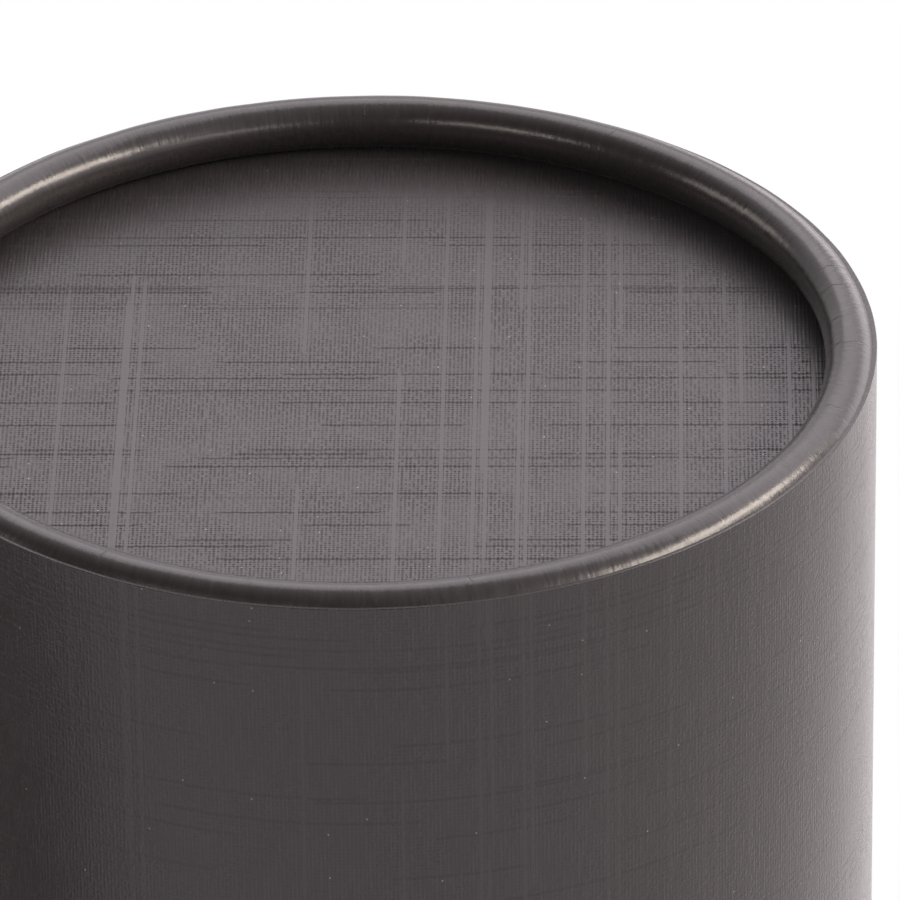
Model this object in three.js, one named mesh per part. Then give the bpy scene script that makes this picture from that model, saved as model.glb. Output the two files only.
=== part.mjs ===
// A round cardboard tube box with a lift-off lid.
// Lid and base are spiral-wound board tubes of one outer diameter, covered in linen-embossed paper.
// The closed end of each is rolled inwards into a bead, and a round board disc is seated against that bead.
// A thinner neck sleeve is glued inside the base and stands proud of it, and the lid slides down over it.
// Units are millimetres, +Z is up, and the origin is the centre of the circle that the base stands on.

import * as THREE from "three";

// Driving dimensions of the box
const outerDiameter = 90;
const totalHeight = 200;
const lidHeight = 70;

// The wound board, with its paper, and the two end discs
const tubeWall = 1.4;
const discThickness = 1.5;

// The rolled bead: the wall turned round a small hollow core, with a narrow flat where the die ironed its crown
const coreEndRadius = 0.45;
const coreHalfHeight = 0.95;
const crownFlat = 0.8;

// The crease below the bead's crown, where the die stopped and the wall stands proud as a narrow ledge
const creaseDepth = 1.0;
const shoulderEase = 0.12;
const shoulderDrop = 0.25;

// The neck sleeve
const neckWall = 1.1;
const neckRise = 35;

// Clearances: the lid's running fit on the neck, a disc's glue line all round, a seat between two pieces,
// and the seam between lid and base
const neckClearance = 0.25;
const discClearance = 0.15;
const seatGap = 0.2;
const seamGap = 0.2;

// Facets: steps round the axis, and the turn that one step makes along a curve of the section
const stepsRound = 72;
const outerArcStep = Math.PI / 12;
const coreArcStep = Math.PI / 6;

// What follows from them
const outerRadius = outerDiameter / 2;
const boreRadius = outerRadius - tubeWall;
const beadEndRadius = tubeWall + coreEndRadius;
const beadHalfHeight = tubeWall + coreHalfHeight;
const beadHeight = 2 * beadHalfHeight;
const discRadius = boreRadius - discClearance;
const neckOuterRadius = boreRadius - neckClearance;
const baseHeight = totalHeight - lidHeight;
const baseShellHeight = baseHeight - seamGap / 2;
const lidShellHeight = lidHeight - seamGap / 2;
const baseDiscBottom = beadHeight + seatGap;
const baseDiscTop = baseDiscBottom + discThickness;
const neckBottom = baseDiscTop + seatGap;
const neckTop = baseHeight + neckRise;

const linenPaper = new THREE.MeshStandardMaterial({ color: "#2b2929", roughness: 0.5, metalness: 0 });
const plainPaper = new THREE.MeshStandardMaterial({ color: "#232222", roughness: 0.7, metalness: 0 });

// Points along an elliptical arc of the section, its first and last points included.
function arcPoints(centre, radii, startAngle, endAngle, step) {
  const count = Math.max(2, Math.round(Math.abs(endAngle - startAngle) / step));
  return Array.from({ length: count + 1 }, (_, i) => {
    const angle = startAngle + ((endAngle - startAngle) * i) / count;
    return new THREE.Vector2(
      centre.x + radii.x * Math.cos(angle),
      centre.y + radii.y * Math.sin(angle),
    );
  });
}

// A closed section, given anticlockwise with the radius as x, is turned round the Z axis.
function turned(outline) {
  const closed = [...outline, outline[0].clone()];
  return new THREE.LatheGeometry(closed, stepsRound).rotateX(Math.PI / 2);
}

// The section of a tube whose upper end is rolled inwards. Its crown lies at height 0 and the tube hangs below it.
function curledTubeSection(height) {
  const outerCentre = new THREE.Vector2(outerRadius - beadEndRadius, -beadHalfHeight);
  const innerCentre = new THREE.Vector2(outerCentre.x - crownFlat, -beadHalfHeight);
  const outside = new THREE.Vector2(beadEndRadius, beadHalfHeight);
  const core = new THREE.Vector2(coreEndRadius, coreHalfHeight);
  const right = 0;
  const up = Math.PI / 2;
  const down = (3 * Math.PI) / 2;
  const creaseAngle = Math.asin((beadHalfHeight - creaseDepth) / beadHalfHeight);
  const openEndOutside = new THREE.Vector2(outerRadius, -height);
  const shoulderFoot = new THREE.Vector2(outerRadius, -creaseDepth - shoulderDrop);
  const shoulderEdge = new THREE.Vector2(outerRadius - shoulderEase, -creaseDepth);
  const rolledEndOutside = new THREE.Vector2(outerCentre.x, -beadHeight);
  const rolledEndInside = new THREE.Vector2(outerCentre.x, -beadHeight + tubeWall);
  const openEndInside = new THREE.Vector2(boreRadius, -height);
  return [
    openEndOutside,
    shoulderFoot,
    shoulderEdge,
    ...arcPoints(outerCentre, outside, creaseAngle, up, outerArcStep),
    ...arcPoints(innerCentre, outside, up, down, outerArcStep),
    rolledEndOutside,
    rolledEndInside,
    ...arcPoints(innerCentre, core, down, up, coreArcStep),
    ...arcPoints(outerCentre, core, up, right, coreArcStep),
    openEndInside,
  ];
}

// The section of a plain ring between two radii and two heights.
function ringSection(innerRadius, ringRadius, bottom, top) {
  return [
    new THREE.Vector2(ringRadius, bottom),
    new THREE.Vector2(ringRadius, top),
    new THREE.Vector2(innerRadius, top),
    new THREE.Vector2(innerRadius, bottom),
  ];
}

// A round board disc, standing on height 0.
function discGeometry() {
  const section = [
    new THREE.Vector2(0, 0),
    new THREE.Vector2(discRadius, 0),
    new THREE.Vector2(discRadius, discThickness),
    new THREE.Vector2(0, discThickness),
  ];
  return new THREE.LatheGeometry(section, stepsRound).rotateX(Math.PI / 2);
}

function named(name, geometry, material) {
  const mesh = new THREE.Mesh(geometry, material);
  mesh.name = name;
  return mesh;
}

// The base: its tube turned over to stand on the bead, the disc seated on the bead, and the neck glued inside
function makeBase() {
  const base = new THREE.Group();
  const shell = named("base_shell", turned(curledTubeSection(baseShellHeight)), linenPaper);
  shell.rotation.x = Math.PI;
  const disc = named("base_disc", discGeometry(), linenPaper);
  disc.position.z = baseDiscBottom;
  const neckSection = ringSection(neckOuterRadius - neckWall, neckOuterRadius, neckBottom, neckTop);
  const neck = named("neck_sleeve", turned(neckSection), plainPaper);
  base.add(shell, disc, neck);
  return base;
}

// The lid: its tube hangs from the bead, and the disc is seated under the bead
function makeLid() {
  const lid = new THREE.Group();
  const shell = named("lid_shell", turned(curledTubeSection(lidShellHeight)), linenPaper);
  const disc = named("lid_disc", discGeometry(), linenPaper);
  disc.position.z = -beadHeight - seatGap - discThickness;
  lid.add(shell, disc);
  lid.position.z = totalHeight;
  return lid;
}

const tubeBox = new THREE.Group();
tubeBox.add(makeBase(), makeLid());

export default tubeBox;
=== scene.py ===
"""A black cardboard tube box with rolled bead rims, linen-embossed paper and a lift-off lid."""

import math

import bpy
from mathutils import Matrix, Vector


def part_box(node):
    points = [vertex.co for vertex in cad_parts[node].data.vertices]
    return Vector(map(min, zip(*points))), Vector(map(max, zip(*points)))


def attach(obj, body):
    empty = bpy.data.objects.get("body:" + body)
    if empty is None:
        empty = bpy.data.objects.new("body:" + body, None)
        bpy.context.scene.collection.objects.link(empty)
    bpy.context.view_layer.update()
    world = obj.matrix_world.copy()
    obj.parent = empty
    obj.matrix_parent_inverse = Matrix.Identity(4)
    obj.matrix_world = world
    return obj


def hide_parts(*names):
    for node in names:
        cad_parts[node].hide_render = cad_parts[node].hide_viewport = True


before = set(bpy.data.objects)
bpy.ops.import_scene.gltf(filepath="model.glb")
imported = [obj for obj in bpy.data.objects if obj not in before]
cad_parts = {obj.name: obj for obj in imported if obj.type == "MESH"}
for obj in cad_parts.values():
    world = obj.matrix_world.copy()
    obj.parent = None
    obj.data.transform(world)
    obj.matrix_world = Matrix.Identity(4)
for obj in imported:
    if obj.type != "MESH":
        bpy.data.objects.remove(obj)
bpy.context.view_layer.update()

MM = 0.001

# Places and sizes that come from the frame
lid_low, lid_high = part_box("lid_shell")
lid_disc_low, lid_disc_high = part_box("lid_disc")
base_low, base_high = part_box("base_shell")
base_disc_low, base_disc_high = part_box("base_disc")
neck_low, neck_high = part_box("neck_sleeve")
TUBE_RADIUS = lid_high.x
DISC_RADIUS = lid_disc_high.x
NECK_RADIUS = neck_high.x

# The board's thickness in the shells and in the neck
WALL = 1.4 * MM
NECK_WALL = 1.1 * MM

# The rolled bead is an oval. The die stopped just below its crown, and the wall stands proud there as a
# narrow ledge.
BEAD_HALF_WIDTH = 2.25 * MM
BEAD_HALF_HEIGHT = 2.35 * MM
LEDGE_DEPTH = 1.0 * MM
LEDGE_ROUNDING = 0.08 * MM
CREASE_DEPTH = 1.04 * MM
BEAD_WAVINESS = 0.1 * MM
BEAD_WAVE_LENGTH = 6 * MM

# Roundings of the cut edges
CUT_ROUNDING = 0.15 * MM
DISC_ROUNDING = 0.3 * MM

# The embossed grid's pitch, both ways. On the photograph it is 0.0079 of the tube's radius.
LINEN_PITCH = 0.354 * MM
LINEN_TURN = math.radians(1.2)

# The share of the upright threads that are wide flat bands, the share of the level ones that are missing,
# and about how long each such stretch is
BAND_SHARE = 0.1
BAND_LENGTH = 30 * MM
GROOVE_SHARE = 0.14
GROOVE_LENGTH = 20 * MM

# How far an upright rib and a patch of level threads keep their strength, the grain that breaks up the
# pits, and the cell that may hold one speck of dust
RIB_LENGTH = 4 * MM
ROW_PATCH = 7 * MM
GRAIN_WIDTH = 0.34 * MM
GRAIN_HEIGHT = 0.44 * MM
DUST_CELL = 3.2 * MM

# Heights and depths on the linen, as shares of a paper's relief
ROW_RISE = 0.2
BAND_RISE = 0.8
PIT_DEPTH = 0.5
GROOVE_DEPTH = 0.8

# Shifts that give each kind of thread lots of its own, and the distance between the noise of two lots
BAND_LOTS = 11.3
GROOVE_LOTS = 47.7
RIB_LOTS = 83.1
FAR_APART = 997.0

# The grain of the ironed paper on a bead: two grains across the roll, and a speckle
FINE_GRAIN = 0.4 * MM
LONG_GRAIN = 1.1 * MM
SPECKLE = 0.16 * MM
BEAD_RELIEF = 0.015 * MM

# Small cracks where the paper was stretched over the bead: degrees round the tube from the front, towards
# the right, then degrees round the bead's section where each begins and ends. A crack wanders sideways by
# up to half of CRACK_WANDER, and fades from its core to its half width.
CRACK_WANDER = 0.8 * MM
CRACK_HALF_WIDTH = 0.09 * MM
CRACK_CORE = 0.02 * MM
BEAD_CRACKS = (
    (104.8, 35, 120),
    (100.4, 60, 150),
    (93.0, 100, 150),
    (86.8, 50, 170),
    (82.3, 110, 200),
    (71.5, 60, 110),
    (12.0, 70, 125),
    (-31.0, 50, 100),
    (-118.0, 60, 150),
    (148.0, 50, 120),
)

# Facets: steps round the tube, and the turn of one step along an arc of a section
STEPS_ROUND = 360
ARC_STEP = math.radians(6)

# The photograph's camera: a long lens that looks down at the rim, whose centre shows at RIM_PIXEL
PHOTO_SIDE = 900
RIM_PIXEL = (364.3, 333.25)
CAMERA_ELEVATION = math.radians(30.57)
CAMERA_ROLL = math.radians(0.69)
CAMERA_DISTANCE = 22.52 * TUBE_RADIUS
CAMERA_LENS = 461.6
CAMERA_SENSOR = 36.0

# The studio as reflections see it: a white background behind and to the right, from where it starts to
# where it is full, a dimmer ceiling over it, and a dark room elsewhere. The room's light is what falls on
# dull surfaces from all sides.
WHITE_SIDE = Vector((0.75, 0.66, 0.0))
WHITE_START = -0.6
WHITE_FULL = 0.3
CEILING_START = 0.6
CEILING_SHARE = 0.6
DARK_ROOM = 0.15
ROOM_LIGHT = 0.25
ROOM_TINT = "#fff8fb"

# The floor, in metres from the box's axis. In reflections it glows with painted light, with painted shade
# near the box and a painted dark patch where a dark card would lie.
FLOOR_SIDE = 4.0
FLOOR_DROP = 0.05 * MM
FLOOR_FADE_START = 0.08
FLOOR_FADE_END = 0.23
FLOOR_NEAR_WHITE = 0.3
PAINTED_BOX_SHADE_LIGHT = 0.2
PAINTED_DARK_PATCH = (-0.34, 0.02, 0.0)
PAINTED_PATCH_LIGHT = 0.1
PAINTED_PATCH_START = 0.08
PAINTED_PATCH_END = 0.3


def linear(hex_colour):
    """An sRGB hex colour as the linear colour that a shader takes."""
    shares = [int(hex_colour[i : i + 2], 16) / 255 for i in (1, 3, 5)]
    bent = [s / 12.92 if s <= 0.04045 else ((s + 0.055) / 1.055) ** 2.4 for s in shares]
    return (*bent, 1.0)


def add_node(tree, kind, inputs=None, out=0, **settings):
    """Adds a node with its settings, gives each input a value or a socket, and returns one output."""
    node = tree.nodes.new("ShaderNode" + kind)
    for name, value in settings.items():
        setattr(node, name, value)
    for key, value in (inputs or {}).items():
        if isinstance(value, bpy.types.NodeSocket):
            tree.links.new(value, node.inputs[key])
        else:
            node.inputs[key].default_value = value
    return node.outputs[out] if node.outputs else None


def new_material(name):
    """An empty material, and its node tree."""
    material = bpy.data.materials.new(name)
    material.use_nodes = True
    material.node_tree.nodes.clear()
    return material, material.node_tree


def product(tree, *factors):
    """The product of several sockets or numbers."""
    total = factors[0]
    for factor in factors[1:]:
        total = add_node(tree, "Math", {0: total, 1: factor}, operation="MULTIPLY")
    return total


def ramp(tree, value, low, high):
    """A smooth step from 0 at low to 1 at high."""
    ends = {"Value": value, "From Min": low, "From Max": high}
    return add_node(tree, "MapRange", ends, interpolation_type="SMOOTHSTEP")


def turn_from_front(tree, parts):
    """The turn round the tube, from 0 at the front to half a turn at the back."""
    forward = add_node(tree, "Math", {0: parts.node.outputs["Y"], 1: -1.0}, operation="MULTIPLY")
    return add_node(tree, "Math", {0: parts, 1: forward}, operation="ARCTAN2")


def unrolled_wall(tree):
    """Places on the wall's paper, in metres: the length round the tube, and the height."""
    place = add_node(tree, "TexCoord", out="Object")
    parts = add_node(tree, "SeparateXYZ", {0: place})
    turn = turn_from_front(tree, parts)
    across = add_node(tree, "Math", {0: turn, 1: TUBE_RADIUS}, operation="MULTIPLY")
    return across, parts.node.outputs["Z"]


def flat_disc(tree):
    """Places on a disc's paper, in metres. Its threads lie a little askew to the row's axes."""
    place = add_node(tree, "TexCoord", out="Object")
    turned = add_node(tree, "Mapping", {"Vector": place, "Rotation": (0, 0, LINEN_TURN)})
    parts = add_node(tree, "SeparateXYZ", {0: turned})
    return parts, parts.node.outputs["Y"]


def thread_wave(tree, place):
    """The rounded ribs of one set of threads, from 0 in the groove to 1 on the crest."""
    phase = add_node(tree, "Math", {0: place, 1: 2 * math.pi / LINEN_PITCH}, operation="MULTIPLY")
    wave = add_node(tree, "Math", {0: phase}, operation="COSINE")
    return add_node(tree, "Math", {0: wave, 1: -0.5, 2: 0.5}, operation="MULTIPLY_ADD")


def thread_number(tree, place):
    """The number of the thread that a place lies on."""
    count = add_node(tree, "Math", {0: place, 1: LINEN_PITCH}, operation="DIVIDE")
    return add_node(tree, "Math", {0: count}, operation="FLOOR")


def soft_noise(tree, across, along, detail=1.5):
    """Noise from 0 to 1 over two coordinates that are already in its own unit."""
    point = add_node(tree, "CombineXYZ", {0: across, 1: along})
    grain = {"Vector": point, "Scale": 1.0, "Detail": detail}
    return add_node(tree, "TexNoise", grain, noise_dimensions="2D")


def thread_lot(tree, number, shift):
    """A random value from 0 to 1 for each thread."""
    place = add_node(tree, "Math", {0: number, 1: shift}, operation="ADD")
    return add_node(tree, "TexWhiteNoise", {"W": place}, noise_dimensions="1D")


def stretches(tree, along, lot, length, low, high):
    """Stretches of a thread, each about as long as given, 1 on them and 0 between them."""
    travel = product(tree, along, 1 / length)
    place = add_node(tree, "Math", {0: lot, 1: FAR_APART, 2: travel}, operation="MULTIPLY_ADD")
    run = add_node(
        tree, "TexNoise", {"W": place, "Scale": 1.0, "Detail": 0.0}, noise_dimensions="1D"
    )
    return ramp(tree, run, low, high)


def patches(tree, across, along, size, low, high):
    """Soft patches over the paper, from 0 to 1."""
    cloud = soft_noise(tree, product(tree, across, 1 / size), product(tree, along, 1 / size), 2.0)
    return ramp(tree, cloud, low, high)


def dust_specks(tree, across, along):
    """Sparse pale specks of dust, each under 0.1 mm, 1 on a speck and 0 elsewhere."""
    column, line = (product(tree, place, 1 / DUST_CELL) for place in (across, along))
    point = add_node(tree, "CombineXYZ", {0: column, 1: line})
    cells = add_node(tree, "TexVoronoi", {"Vector": point, "Scale": 1.0}, voronoi_dimensions="2D")
    edge = {"Value": cells, "From Min": 0.012, "From Max": 0.026, "To Min": 1, "To Max": 0}
    speck = add_node(tree, "MapRange", edge)
    lot = add_node(tree, "SeparateColor", {0: cells.node.outputs["Color"]})
    return product(tree, speck, ramp(tree, lot, 0.86, 0.88))


def linen_paper(name, unroll, relief, grain_relief, contrast, roughnesses, varnish):
    """Black cover paper, dyed through, pressed between linen-engraved rolls and given a satin varnish.

    The eye sees thin upright ribs over finer level threads, with dull pits between them. Some level
    threads are missing, which leaves long dark grooves, and some upright ones are wide and flat, which
    gives paler bands that interrupt the grooves. Pits and grooves also get painted shade in their colour.
    The roughnesses are those of the threads and of the pits.
    """
    material, tree = new_material(name)
    across, along = unroll(tree)
    ribs = thread_wave(tree, across)
    rows = thread_wave(tree, along)
    rib_number = thread_number(tree, across)
    row_number = thread_number(tree, along)

    band_lot = thread_lot(tree, rib_number, BAND_LOTS)
    band_run = stretches(tree, along, band_lot, BAND_LENGTH, 0.36, 0.42)
    bands = product(tree, ramp(tree, band_lot, BAND_SHARE + 0.01, BAND_SHARE), band_run)
    off_bands = add_node(tree, "Math", {0: bands, 1: -0.85, 2: 1.0}, operation="MULTIPLY_ADD")
    groove_lot = thread_lot(tree, row_number, GROOVE_LOTS)
    groove_run = stretches(tree, across, groove_lot, GROOVE_LENGTH, 0.42, 0.46)
    groove_threads = ramp(tree, groove_lot, GROOVE_SHARE, GROOVE_SHARE * 0.6)
    groove_width = ramp(tree, rows, 0.35, 0.9)
    grooves = product(tree, groove_threads, groove_run, groove_width, off_bands)

    rib_lot = thread_lot(tree, rib_number, RIB_LOTS)
    rib_strength = stretches(tree, along, rib_lot, RIB_LENGTH, 0.2, 0.8)
    row_strength = patches(tree, across, along, ROW_PATCH, 0.34, 0.6)
    grain_column = product(tree, across, 1 / GRAIN_WIDTH)
    grain_line = product(tree, along, 1 / GRAIN_HEIGHT)
    grain = soft_noise(tree, grain_column, grain_line)
    between_ribs = add_node(tree, "Math", {0: 1.0, 1: ribs}, operation="SUBTRACT")
    between_rows = add_node(tree, "Math", {0: 1.0, 1: rows}, operation="SUBTRACT")
    pit_strength = add_node(tree, "MapRange", {"Value": row_strength, "To Min": 0.6, "To Max": 1.0})
    uneven = ramp(tree, grain, 0.3, 0.58)
    holes = ramp(tree, product(tree, between_ribs, between_rows), 0.04, 0.5)
    pits = product(tree, holes, pit_strength, uneven, off_bands)

    rib_relief = product(tree, ribs, rib_strength, off_bands)
    row_relief = product(tree, rows, row_strength, off_bands, ROW_RISE)
    grid = add_node(tree, "Math", {0: rib_relief, 1: row_relief}, operation="ADD")
    raised = add_node(tree, "Math", {0: bands, 1: BAND_RISE, 2: grid}, operation="MULTIPLY_ADD")
    pitted = add_node(tree, "Math", {0: pits, 1: -PIT_DEPTH, 2: raised}, operation="MULTIPLY_ADD")
    grainy = add_node(tree, "Math", {0: grain, 1: grain_relief, 2: pitted}, operation="MULTIPLY_ADD")
    height = add_node(tree, "Math", {0: grooves, 1: -GROOVE_DEPTH, 2: grainy}, operation="MULTIPLY_ADD")
    normal = add_node(tree, "Bump", {"Height": height, "Distance": relief})

    crest = add_node(tree, "MapRange", {"Value": raised, "From Max": 1.1, "To Max": contrast})
    shades = {"Factor": crest, "A": linear("#2e2a2c"), "B": linear("#3e3a3d")}
    dyed = add_node(tree, "Mix", shades, out="Result", data_type="RGBA")
    hollows = add_node(tree, "Math", {0: pits, 1: grooves}, operation="MAXIMUM")
    # Painted shade: the colour of the pits and grooves is darkened towards near-black, standing in for
    # their occlusion.
    painted_shade_mix = {"Factor": product(tree, hollows, contrast), "A": dyed, "B": linear("#0f0d0e")}
    painted_hollow_shade = add_node(tree, "Mix", painted_shade_mix, out="Result", data_type="RGBA")
    dusty = {"Factor": dust_specks(tree, across, along), "A": painted_hollow_shade, "B": linear("#a49c96")}
    colour = add_node(tree, "Mix", dusty, out="Result", data_type="RGBA")
    smooth, dull = roughnesses
    roughness = add_node(tree, "MapRange", {"Value": hollows, "To Min": smooth, "To Max": dull})
    paper = {"Base Color": colour, "Roughness": roughness, "Normal": normal, **varnish}
    add_node(tree, "OutputMaterial", {"Surface": add_node(tree, "BsdfPrincipled", paper)})
    return material


def burnished_bead(name, centre_height, way):
    """The same black paper where a hot die has rolled it over and ironed its linen away.

    The eye sees a satin sheen that a fine grain across the roll breaks up, with a few short cracks.
    """
    material, tree = new_material(name)
    place = add_node(tree, "TexCoord", out="Object")
    parts = add_node(tree, "SeparateXYZ", {0: place})
    turn = turn_from_front(tree, parts)
    round_tube = add_node(tree, "Math", {0: turn, 1: TUBE_RADIUS}, operation="MULTIPLY")
    level = add_node(tree, "VectorMath", {0: place, 1: (1, 1, 0)}, operation="MULTIPLY")
    reach = add_node(tree, "VectorMath", {0: level}, out="Value", operation="LENGTH")
    outward = add_node(
        tree, "Math", {0: reach, 1: TUBE_RADIUS - BEAD_HALF_WIDTH}, operation="SUBTRACT"
    )
    upward = add_node(
        tree, "Math", {0: parts.node.outputs["Z"], 1: centre_height}, operation="SUBTRACT"
    )
    towards_crown = product(tree, upward, way)
    section = add_node(tree, "Math", {0: towards_crown, 1: outward}, operation="ARCTAN2")

    fine_grain = soft_noise(tree, product(tree, round_tube, 1 / FINE_GRAIN), product(tree, section, 1.4))
    long_grain = soft_noise(tree, product(tree, round_tube, 1 / LONG_GRAIN), product(tree, section, 0.9))
    speckle = add_node(tree, "TexNoise", {"Vector": place, "Scale": 1 / SPECKLE, "Detail": 2.0})
    cracks = 0.0
    for turn_degrees, start_degrees, end_degrees in BEAD_CRACKS:
        middle = math.radians((start_degrees + end_degrees) / 2)
        half = math.radians((end_degrees - start_degrees) / 2)
        wander = soft_noise(tree, product(tree, section, 2.6), turn_degrees)
        drift = add_node(
            tree, "Math", {0: wander, 1: CRACK_WANDER, 2: round_tube}, operation="MULTIPLY_ADD"
        )
        crack_place = math.radians(turn_degrees) * TUBE_RADIUS + CRACK_WANDER / 2
        aside = add_node(tree, "Math", {0: drift, 1: crack_place}, operation="SUBTRACT")
        distance = add_node(tree, "Math", {0: aside}, operation="ABSOLUTE")
        line = ramp(tree, distance, CRACK_HALF_WIDTH, CRACK_CORE)
        off_middle = add_node(tree, "Math", {0: section, 1: middle}, operation="SUBTRACT")
        along = add_node(tree, "Math", {0: off_middle}, operation="ABSOLUTE")
        crack = product(tree, line, ramp(tree, along, half, half * 0.5))
        cracks = add_node(tree, "Math", {0: crack, 1: cracks}, operation="MAXIMUM")

    grain = add_node(tree, "Math", {0: long_grain, 1: 1.6, 2: fine_grain}, operation="MULTIPLY_ADD")
    rough_grain = add_node(tree, "Math", {0: speckle, 1: 0.6, 2: grain}, operation="MULTIPLY_ADD")
    height = add_node(tree, "Math", {0: cracks, 1: -2.2, 2: rough_grain}, operation="MULTIPLY_ADD")
    normal = add_node(tree, "Bump", {"Height": height, "Distance": BEAD_RELIEF})
    shades = {"Factor": fine_grain, "A": linear("#221f1f"), "B": linear("#332f2f")}
    pressed = add_node(tree, "Mix", shades, out="Result", data_type="RGBA")
    cracked = {"Factor": product(tree, cracks, 0.75), "A": pressed, "B": linear("#0d0b0b")}
    colour = add_node(tree, "Mix", cracked, out="Result", data_type="RGBA")
    roughness = add_node(tree, "MapRange", {"Value": long_grain, "To Min": 0.18, "To Max": 0.32})
    paper = {"Base Color": colour, "Roughness": roughness, "IOR": 1.58, "Normal": normal}
    paper.update({"Sheen Weight": 0.05, "Sheen Roughness": 0.35})
    add_node(tree, "OutputMaterial", {"Surface": add_node(tree, "BsdfPrincipled", paper)})
    return material


def plain_lining(name):
    """Uncoated black lining paper, spiral-wound with its edges butted.

    The eye sees a dull, slightly fibrous black with one fine joint that climbs round the tube.
    """
    material, tree = new_material(name)
    place = add_node(tree, "TexCoord", out="Object")
    parts = add_node(tree, "SeparateXYZ", {0: place})
    turn = turn_from_front(tree, parts)
    climb = add_node(
        tree, "Math", {0: parts.node.outputs["Z"], 1: 1 / (120 * MM)}, operation="MULTIPLY"
    )
    winding = add_node(
        tree, "Math", {0: turn, 1: 1 / (2 * math.pi), 2: climb}, operation="MULTIPLY_ADD"
    )
    share = add_node(tree, "Math", {0: winding}, operation="FRACT")
    off_joint = add_node(tree, "Math", {0: share, 1: 0.5}, operation="SUBTRACT")
    joint_distance = add_node(tree, "Math", {0: off_joint}, operation="ABSOLUTE")
    joint = ramp(tree, joint_distance, 0.0016, 0.0004)
    fibre = {"Vector": place, "Scale": 1 / (0.5 * MM), "Detail": 5.0, "Roughness": 0.65}
    fibres = add_node(tree, "TexNoise", fibre)
    height = add_node(tree, "Math", {0: joint, 1: -3.0, 2: fibres}, operation="MULTIPLY_ADD")
    normal = add_node(tree, "Bump", {"Height": height, "Distance": 0.02 * MM})
    shades = {"Factor": fibres, "A": linear("#1c1a1a"), "B": linear("#2c2929")}
    dyed = add_node(tree, "Mix", shades, out="Result", data_type="RGBA")
    darker = {"Factor": product(tree, joint, 0.6), "A": dyed, "B": linear("#0d0c0c")}
    colour = add_node(tree, "Mix", darker, out="Result", data_type="RGBA")
    paper = {"Base Color": colour, "Roughness": 0.72, "IOR": 1.48, "Normal": normal}
    add_node(tree, "OutputMaterial", {"Surface": add_node(tree, "BsdfPrincipled", paper)})
    return material


def greyboard(name):
    """The cut edge of recycled greyboard, wound in plies.

    The eye sees a dull warm grey with darker lines where the plies are glued, and loose short fibres.
    """
    material, tree = new_material(name)
    place = add_node(tree, "TexCoord", out="Object")
    level = add_node(tree, "VectorMath", {0: place, 1: (1, 1, 0)}, operation="MULTIPLY")
    reach = add_node(tree, "VectorMath", {0: level}, out="Value", operation="LENGTH")
    plies = add_node(tree, "Math", {0: reach, 1: 1 / (0.35 * MM)}, operation="MULTIPLY")
    ply_share = add_node(tree, "Math", {0: plies}, operation="FRACT")
    glue_line = ramp(tree, ply_share, 0.82, 0.96)
    fibre = {"Vector": place, "Scale": 1 / (0.3 * MM), "Detail": 6.0, "Roughness": 0.7}
    fibres = add_node(tree, "TexNoise", fibre)
    normal = add_node(tree, "Bump", {"Height": fibres, "Distance": 0.06 * MM})
    shades = {"Factor": fibres, "A": linear("#4b4641"), "B": linear("#7d766d")}
    pulp = add_node(tree, "Mix", shades, out="Result", data_type="RGBA")
    lined = {"Factor": product(tree, glue_line, 0.6), "A": pulp, "B": linear("#37332f")}
    colour = add_node(tree, "Mix", lined, out="Result", data_type="RGBA")
    board = {"Base Color": colour, "Roughness": 0.85, "IOR": 1.45, "Normal": normal}
    add_node(tree, "OutputMaterial", {"Surface": add_node(tree, "BsdfPrincipled", board)})
    return material


def arc(centre, radii, start_degrees, end_degrees):
    """Points along an oval arc of a section, both ends included."""
    start, end = math.radians(start_degrees), math.radians(end_degrees)
    steps = max(2, round(abs(end - start) / ARC_STEP))
    angles = [start + (end - start) * i / steps for i in range(steps + 1)]
    return [(centre[0] + radii[0] * math.cos(a), centre[1] + radii[1] * math.sin(a)) for a in angles]


def turned_ring(name, sections, materials):
    """A closed section turned round the tube's axis.

    A circle is drawn at the section's first point and extruded from point to point, until the last ring
    meets the first. The section comes as lists of points, each with the number of the material that
    covers the way to each of its points.
    """
    points = [point for stretch, _ in sections for point in stretch]
    covers = [cover for stretch, cover in sections for _ in stretch]
    first_radius, first_height = points[0]
    bpy.ops.object.select_all(action="DESELECT")
    bpy.ops.mesh.primitive_circle_add(
        vertices=STEPS_ROUND, radius=first_radius, location=(0, 0, first_height)
    )
    ring = bpy.context.object
    ring.name = ring.data.name = name
    bpy.ops.object.transform_apply(location=True)
    bpy.ops.object.mode_set(mode="EDIT")
    for (radius, height), (next_radius, next_height) in zip(points, points[1:] + points[:1]):
        rise = (0, 0, next_height - height)
        growth = next_radius / radius
        bpy.ops.mesh.extrude_edges_move(TRANSFORM_OT_translate={"value": rise})
        bpy.ops.transform.resize(value=(growth, growth, 1), center_override=(0, 0, next_height))
    bpy.ops.mesh.select_all(action="SELECT")
    bpy.ops.mesh.remove_doubles(threshold=0.001 * MM)
    bpy.ops.mesh.normals_make_consistent(inside=False)
    bpy.ops.object.mode_set(mode="OBJECT")
    for material in materials:
        ring.data.materials.append(material)
    for face in ring.data.polygons:
        face.material_index = covers[(face.index // STEPS_ROUND + 1) % len(covers)]
    return ring


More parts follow.
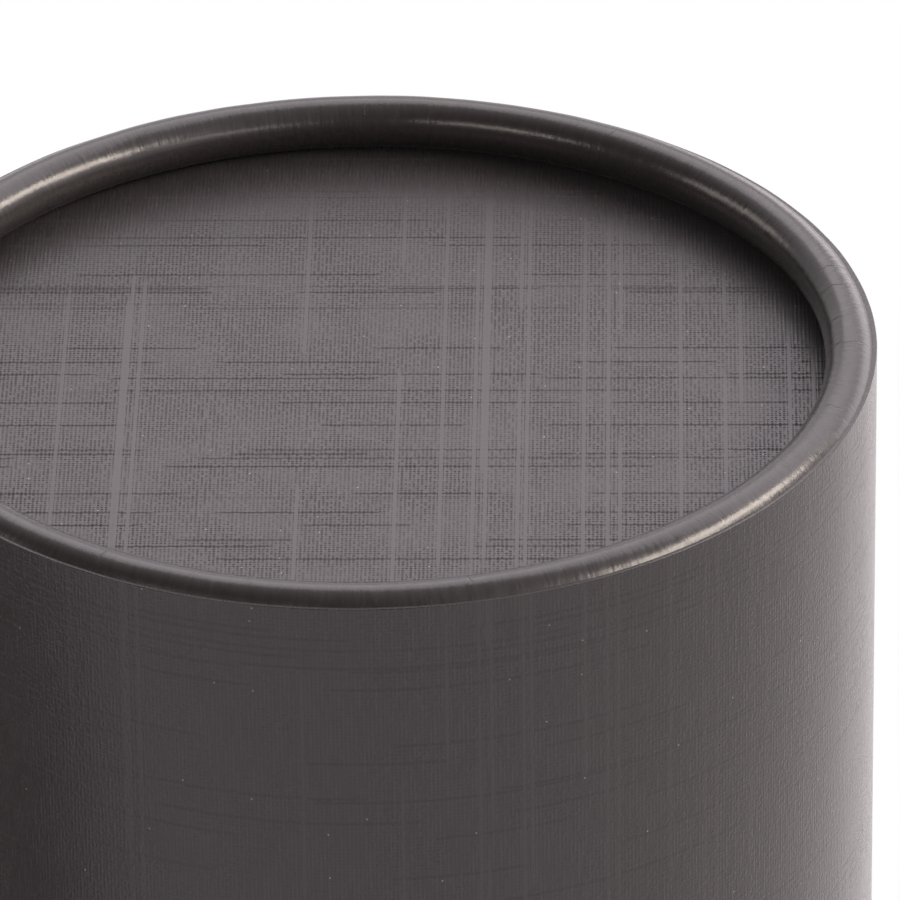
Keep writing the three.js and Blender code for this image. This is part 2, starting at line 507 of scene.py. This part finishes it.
def wave_bead(shell, bead_bottom, way):
    """Gives the bead the slight unevenness of board that is rolled over."""
    group = shell.vertex_groups.new(name="bead")
    fade = 0.8 * MM
    for vertex in shell.data.vertices:
        above = (vertex.co.z - bead_bottom) * way
        if above > 0:
            group.add([vertex.index], min(1.0, above / fade), "REPLACE")
    waves = bpy.data.textures.new(shell.name + "_waves", "CLOUDS")
    waves.noise_scale = BEAD_WAVE_LENGTH
    waves.noise_depth = 1
    displace = shell.modifiers.new("bead_waves", "DISPLACE")
    displace.texture = waves
    displace.texture_coords = "LOCAL"
    displace.vertex_group = "bead"
    displace.strength = BEAD_WAVINESS
    displace.mid_level = 0.5
    bpy.ops.object.modifier_apply(modifier=displace.name)
    shell.vertex_groups.clear()


def finish_piece(piece, body, node):
    """Smooths the round faces, and ties the piece to its body and its node."""
    bpy.ops.object.shade_smooth_by_angle(angle=math.radians(38))
    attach(piece, body)
    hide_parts(node)


def beaded_shell(name, crown, open_end, materials):
    """A tube of the box: a wound board wall whose closed end is rolled inwards into an oval bead.

    Materials 0 to 3 are the linen paper, the burnished bead paper, the lining and the cut board.
    """
    way = 1 if crown > open_end else -1
    length = abs(crown - open_end)
    bead_centre = (TUBE_RADIUS - BEAD_HALF_WIDTH, -BEAD_HALF_HEIGHT)
    outside = (BEAD_HALF_WIDTH, BEAD_HALF_HEIGHT)
    core = (BEAD_HALF_WIDTH - WALL, BEAD_HALF_HEIGHT - WALL)
    crease_degrees = math.degrees(math.asin(1 - CREASE_DEPTH / BEAD_HALF_HEIGHT))
    rounding = (CUT_ROUNDING, CUT_ROUNDING)
    ledge = (LEDGE_ROUNDING, LEDGE_ROUNDING)
    bore = TUBE_RADIUS - WALL
    open_edge = arc((TUBE_RADIUS - CUT_ROUNDING, -length + CUT_ROUNDING), rounding, -90, 0)
    ledge_arc = arc((TUBE_RADIUS - LEDGE_ROUNDING, -LEDGE_DEPTH - LEDGE_ROUNDING), ledge, 0, 90)
    bead = arc(bead_centre, outside, crease_degrees, 270)
    rolled = arc(bead_centre, core, 270, 0)
    bore_edge = arc((bore + CUT_ROUNDING, -length + CUT_ROUNDING), rounding, 180, 270)
    sections = [
        (open_edge[:1], 3),
        (open_edge[1:] + ledge_arc + bead[:1], 0),
        (bead[1:], 1),
        (rolled[:1], 3),
        (rolled[1:] + bore_edge, 2),
    ]
    placed = [([(r, crown + way * h) for r, h in points], cover) for points, cover in sections]
    shell = turned_ring(name, placed, materials)
    wave_bead(shell, crown - way * 2 * BEAD_HALF_HEIGHT, way)
    return shell


def board_disc(name, low, high, materials):
    """A round disc of covered board, its rim eased by the paper that is turned over it."""
    bpy.ops.object.select_all(action="DESELECT")
    bpy.ops.mesh.primitive_cylinder_add(
        vertices=STEPS_ROUND, radius=DISC_RADIUS, depth=high - low, location=(0, 0, (high + low) / 2)
    )
    disc = bpy.context.object
    disc.name = disc.data.name = name
    bpy.ops.object.transform_apply(location=True)
    bpy.ops.object.mode_set(mode="EDIT")
    bpy.ops.mesh.select_mode(type="EDGE")
    bpy.ops.mesh.select_all(action="DESELECT")
    bpy.ops.object.mode_set(mode="OBJECT")
    points = disc.data.vertices
    for edge in disc.data.edges:
        start, end = (points[i].co.z for i in edge.vertices)
        edge.select = abs(start - end) < 0.01 * MM
    bpy.ops.object.mode_set(mode="EDIT")
    bpy.ops.mesh.bevel(offset=DISC_ROUNDING, segments=4)
    bpy.ops.object.mode_set(mode="OBJECT")
    for material in materials:
        disc.data.materials.append(material)
    return disc


def neck_ring(name, low, high, materials):
    """The neck: a plain wound sleeve, cut square at both ends with the edges just eased."""
    inner = NECK_RADIUS - NECK_WALL
    rounding = (CUT_ROUNDING, CUT_ROUNDING)
    outer_centre = NECK_RADIUS - CUT_ROUNDING
    inner_centre = inner + CUT_ROUNDING
    sections = [
        (arc((outer_centre, low + CUT_ROUNDING), rounding, -90, 0), 0),
        (arc((outer_centre, high - CUT_ROUNDING), rounding, 0, 90), 0),
        (arc((inner_centre, high - CUT_ROUNDING), rounding, 90, 180), 0),
        (arc((inner_centre, low + CUT_ROUNDING), rounding, 180, 270), 0),
    ]
    neck = turned_ring(name, sections, materials)
    for face in neck.data.polygons:
        face.material_index = 1 if abs(face.normal.z) > 0.95 else 0
    return neck


def make_box():
    """The five pieces of the box, each in the place of its node."""
    wall_paper = linen_paper(
        "wall_linen_paper",
        unrolled_wall,
        relief=0.009 * MM,
        grain_relief=4.5,
        contrast=0.5,
        roughnesses=(0.19, 0.3),
        varnish={"IOR": 1.5, "Sheen Weight": 0.5, "Sheen Roughness": 0.35},
    )
    disc_paper = linen_paper(
        "disc_linen_paper",
        flat_disc,
        relief=0.013 * MM,
        grain_relief=0.5,
        contrast=0.62,
        roughnesses=(0.34, 0.9),
        varnish={"IOR": 1.58, "Sheen Weight": 0.1, "Sheen Roughness": 0.35},
    )
    lining = plain_lining("spiral_lining_paper")
    board = greyboard("cut_greyboard")

    lid_bead = burnished_bead("lid_bead_paper", lid_high.z - BEAD_HALF_HEIGHT, 1)
    papers = (wall_paper, lid_bead, lining, board)
    lid = beaded_shell("lid_beaded_tube", lid_high.z, lid_low.z, papers)
    finish_piece(lid, "lid", "lid_shell")
    top = board_disc("lid_top_disc", lid_disc_low.z, lid_disc_high.z, (disc_paper,))
    finish_piece(top, "lid", "lid_disc")

    base_bead = burnished_bead("base_bead_paper", base_low.z + BEAD_HALF_HEIGHT, -1)
    papers = (wall_paper, base_bead, lining, board)
    base = beaded_shell("base_beaded_tube", base_low.z, base_high.z, papers)
    finish_piece(base, "base", "base_shell")
    bottom = board_disc("base_bottom_disc", base_disc_low.z, base_disc_high.z, (disc_paper,))
    finish_piece(bottom, "base", "base_disc")

    neck = neck_ring("neck_tube", neck_low.z, neck_high.z, (lining, board))
    finish_piece(neck, "base", "neck_sleeve")


def sees_background(tree):
    """Two factors: the first is 1 on camera and transmission rays, the second is 1 on glossy rays."""
    path = add_node(tree, "LightPath", out="Is Camera Ray")
    glass = path.node.outputs["Is Transmission Ray"]
    direct = add_node(tree, "Math", {0: path, 1: glass}, operation="MAXIMUM")
    return direct, path.node.outputs["Is Glossy Ray"]


def white_side(tree, direction):
    """1 behind the box and to its right, where the white background stands, and 0 on the other side."""
    facing = add_node(
        tree, "VectorMath", {0: direction, 1: WHITE_SIDE}, out="Value", operation="DOT_PRODUCT"
    )
    return ramp(tree, facing, WHITE_START, WHITE_FULL)


def background_colour(tree, direct):
    """White where the camera sees it, and the studio's faint tint in reflections and on the box."""
    shades = {"Factor": direct, "A": linear(ROOM_TINT), "B": (1, 1, 1, 1)}
    return add_node(tree, "Mix", shades, out="Result", data_type="RGBA")


def make_floor():
    """A pale floor that fades into the white background, away from the box, and keeps the box's shadow.

    It lies just under the row's ground, because the lower bead's unevenness reaches a hair below that.
    """
    material, tree = new_material("pale_floor")
    place = add_node(tree, "TexCoord", out="Object")
    reach = add_node(tree, "VectorMath", {0: place}, out="Value", operation="LENGTH")
    far = ramp(tree, reach, FLOOR_FADE_START, FLOOR_FADE_END)
    share = add_node(tree, "MapRange", {"Value": far, "To Min": FLOOR_NEAR_WHITE})
    direct, glossy = sees_background(tree)
    seen = add_node(tree, "Math", {0: product(tree, direct, share), 1: glossy}, operation="MAXIMUM")
    # Painted reflection: glossy rays see the floor glow, dimmed by painted shade near the box and by a
    # painted dark patch at the left.
    from_painted_patch = add_node(
        tree, "VectorMath", {0: place, 1: PAINTED_DARK_PATCH}, out="Value", operation="DISTANCE"
    )
    off_painted_patch = ramp(tree, from_painted_patch, PAINTED_PATCH_START, PAINTED_PATCH_END)
    painted_patch_shade = add_node(tree, "MapRange", {"Value": off_painted_patch, "To Min": PAINTED_PATCH_LIGHT})
    painted_box_shade = add_node(tree, "MapRange", {"Value": far, "To Min": PAINTED_BOX_SHADE_LIGHT})
    mirrored = product(tree, painted_patch_shade, painted_box_shade)
    brightness = add_node(tree, "Mix", {"Factor": glossy, "A": 1.0, "B": mirrored}, out="Result")
    lit = add_node(tree, "BsdfDiffuse", {"Color": linear("#e9e8e6")})
    colour = background_colour(tree, direct)
    white = add_node(tree, "Emission", {"Color": colour, "Strength": brightness})
    mixed = add_node(tree, "MixShader", {0: seen, 1: lit, 2: white})
    add_node(tree, "OutputMaterial", {"Surface": mixed})
    bpy.ops.object.select_all(action="DESELECT")
    bpy.ops.mesh.primitive_plane_add(size=FLOOR_SIDE, location=(0, 0, -FLOOR_DROP))
    floor = bpy.context.object
    floor.name = "floor"
    floor.data.materials.append(material)


def make_world():
    """White to the camera. In reflections the white stands behind and to the right, and dims overhead."""
    world = bpy.data.worlds.new("studio")
    world.use_nodes = True
    tree = world.node_tree
    tree.nodes.clear()
    direction = add_node(tree, "TexCoord", out="Generated")
    height = add_node(tree, "SeparateXYZ", {0: direction}).node.outputs["Z"]
    off_ceiling = ramp(tree, height, 1.0, CEILING_START)
    below_ceiling = add_node(tree, "MapRange", {"Value": off_ceiling, "To Min": CEILING_SHARE})
    direct, glossy = sees_background(tree)
    white = product(tree, white_side(tree, direction), below_ceiling)
    mirrored = add_node(tree, "MapRange", {"Value": white, "To Min": DARK_ROOM})
    indirect = add_node(tree, "Mix", {"Factor": glossy, "A": ROOM_LIGHT, "B": mirrored}, out="Result")
    strength = add_node(tree, "Mix", {"Factor": direct, "A": indirect, "B": 1.0}, out="Result")
    colour = background_colour(tree, direct)
    light = add_node(tree, "Background", {"Color": colour, "Strength": strength})
    add_node(tree, "OutputWorld", {"Surface": light})
    bpy.context.scene.world = world


def softbox(name, place, width, height, radiance, colour):
    """A soft lamp that faces the lid's rim. Its power follows from its size and how bright its face is."""
    lamp = bpy.data.lights.new(name, "AREA")
    lamp.shape = "RECTANGLE"
    lamp.size = width
    lamp.size_y = height
    lamp.energy = math.pi * radiance * width * height
    lamp.color = linear(colour)[:3]
    stand = bpy.data.objects.new(name, lamp)
    stand.location = place
    away = Vector(place) - Vector((0, 0, lid_high.z))
    stand.rotation_euler = away.to_track_quat("Z", "Y").to_euler()
    stand.visible_camera = False
    bpy.context.scene.collection.objects.link(stand)


def make_lamps():
    """The lamps whose reflections show on the rim: a window, two white backdrops and three strips."""
    softbox("right_window", (1.02, -0.05, 0.86), 1.05, 0.32, 13.0, "#fff1e4")
    softbox("rear_backdrop", (0.35, 0.95, 1.35), 2.0, 1.1, 1.7, "#fff6fd")
    softbox("low_right_backdrop", (0.85, 1.2, 0.4), 1.5, 0.55, 1.7, "#fff6fd")
    softbox("left_rear_strip", (-1.21, 0.26, 0.6), 0.8, 0.3, 2.6, "#fff2ea")
    softbox("front_left_strip", (-0.72, -1.02, 0.84), 0.8, 0.2, 4.5, "#fff2ea")
    softbox("front_right_strip", (0.7, -1.07, 0.77), 0.7, 0.25, 2.5, "#fff4f0")


def make_camera():
    """The photograph's camera. The rim's centre lies off the middle of the picture by RIM_PIXEL."""
    level_up = Vector((0, math.sin(CAMERA_ELEVATION), math.cos(CAMERA_ELEVATION)))
    side = Vector((1, 0, 0))
    forward = Vector((0, math.cos(CAMERA_ELEVATION), -math.sin(CAMERA_ELEVATION)))
    right = side * math.cos(CAMERA_ROLL) - level_up * math.sin(CAMERA_ROLL)
    up = side * math.sin(CAMERA_ROLL) + level_up * math.cos(CAMERA_ROLL)
    metres_per_pixel = CAMERA_DISTANCE * CAMERA_SENSOR / CAMERA_LENS / PHOTO_SIDE
    rim_right = (RIM_PIXEL[0] - PHOTO_SIDE / 2) * metres_per_pixel
    rim_up = (PHOTO_SIDE / 2 - RIM_PIXEL[1]) * metres_per_pixel
    rim_centre = Vector((0, 0, lid_high.z))
    place = rim_centre - forward * CAMERA_DISTANCE - right * rim_right - up * rim_up
    data = bpy.data.cameras.new("photo_camera")
    data.lens = CAMERA_LENS
    data.sensor_width = CAMERA_SENSOR
    camera = bpy.data.objects.new("photo_camera", data)
    turn = Matrix((right, up, -forward)).transposed()
    camera.matrix_world = Matrix.Translation(place) @ turn.to_4x4()
    bpy.context.scene.collection.objects.link(camera)
    bpy.context.scene.camera = camera


make_camera()
make_world()
make_floor()
make_lamps()
make_box()

bpy.context.scene.view_settings.view_transform = "Standard"
